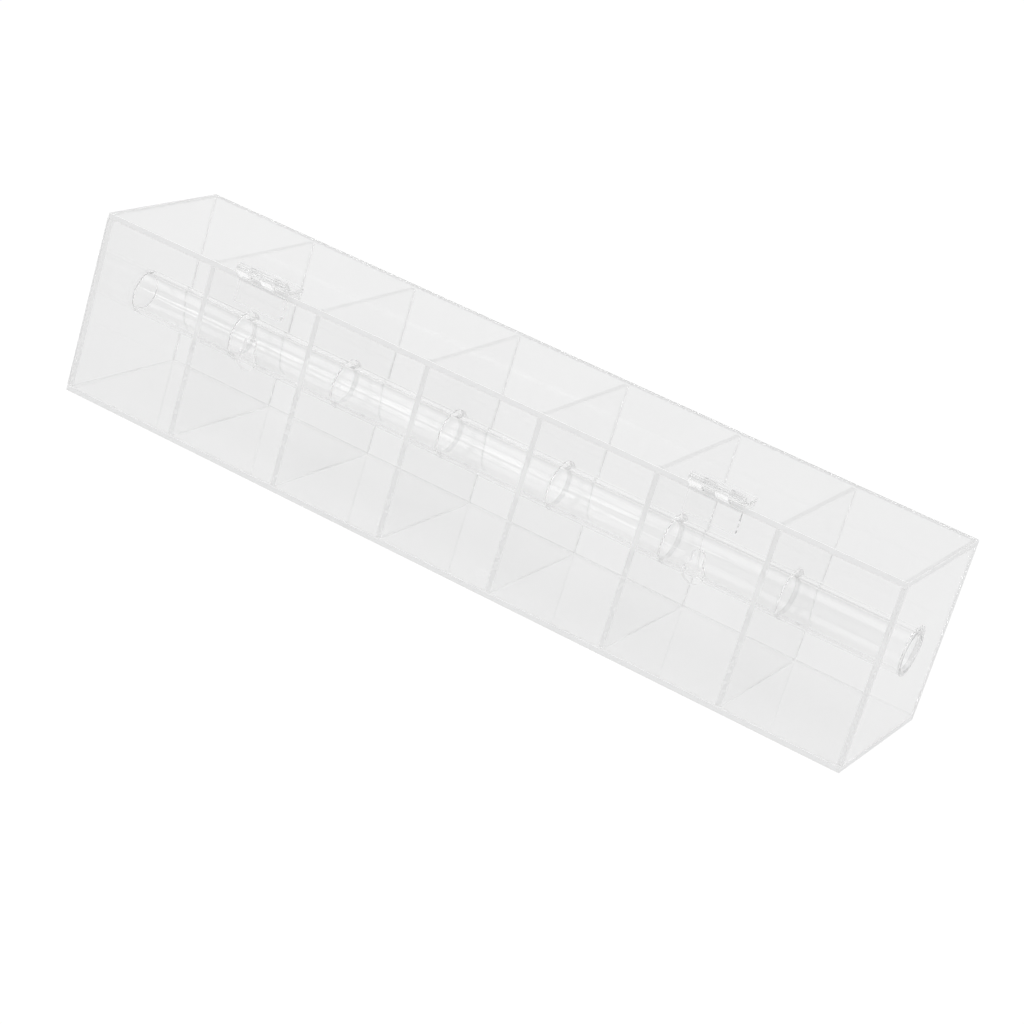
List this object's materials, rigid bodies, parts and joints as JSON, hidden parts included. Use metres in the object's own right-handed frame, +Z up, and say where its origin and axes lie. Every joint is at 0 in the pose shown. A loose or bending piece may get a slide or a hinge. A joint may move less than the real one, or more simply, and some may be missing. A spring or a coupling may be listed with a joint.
{
  "type": "sticker roll dispenser",
  "caption": "Long clear acrylic box with a hinged lid, partitioned compartments, a lengthwise tube that carries rolls of stickers, and keyholes in its back for hanging.",
  "frame": {"origin": "middle of the underside of the base plate", "axes": "+Z up, +X along the length towards the closed end plate, +Y towards the back, where the hinges and the keyholes are"},
  "size_m": [0.48, 0.1095, 0.1115],
  "materials": {
    "clear_plate": "clear cast acrylic sheet with polished edges",
    "clear_tube": "clear extruded acrylic tube",
    "hinge_moulding": "clear moulded acrylic",
    "hinge_pin": "clear acrylic rod"
  },
  "bodies": {
    "box": {"base_plate": "clear_plate", "front_wall": "clear_plate", "back_wall": "clear_plate", "end_plate_closed": "clear_plate", "end_plate_bored": "clear_plate", "partition_1": "clear_plate", "partition_2": "clear_plate", "partition_3": "clear_plate", "partition_4": "clear_plate", "partition_5": "clear_plate", "partition_6": "clear_plate", "hinge_1_wall_leaf": "hinge_moulding", "hinge_2_wall_leaf": "hinge_moulding", "hinge_1_pin": "hinge_pin", "hinge_2_pin": "hinge_pin"},
    "lid": {"lid_plate": "clear_plate", "hinge_1_lid_leaf": "hinge_moulding", "hinge_2_lid_leaf": "hinge_moulding"},
    "tube": {"roll_tube": "clear_tube"}
  },
  "joints": [
    {"name": "lid_hinge", "type": "hinge", "parent": "box", "child": "lid", "pos_m": [0, 0.056, 0.109], "axis": [-1, 0, 0], "range_deg": [0, 270]},
    {"name": "tube_slide", "type": "slide", "parent": "box", "child": "tube", "axis": [-1, 0, 0], "range_m": [0, 0.48]}
  ]
}
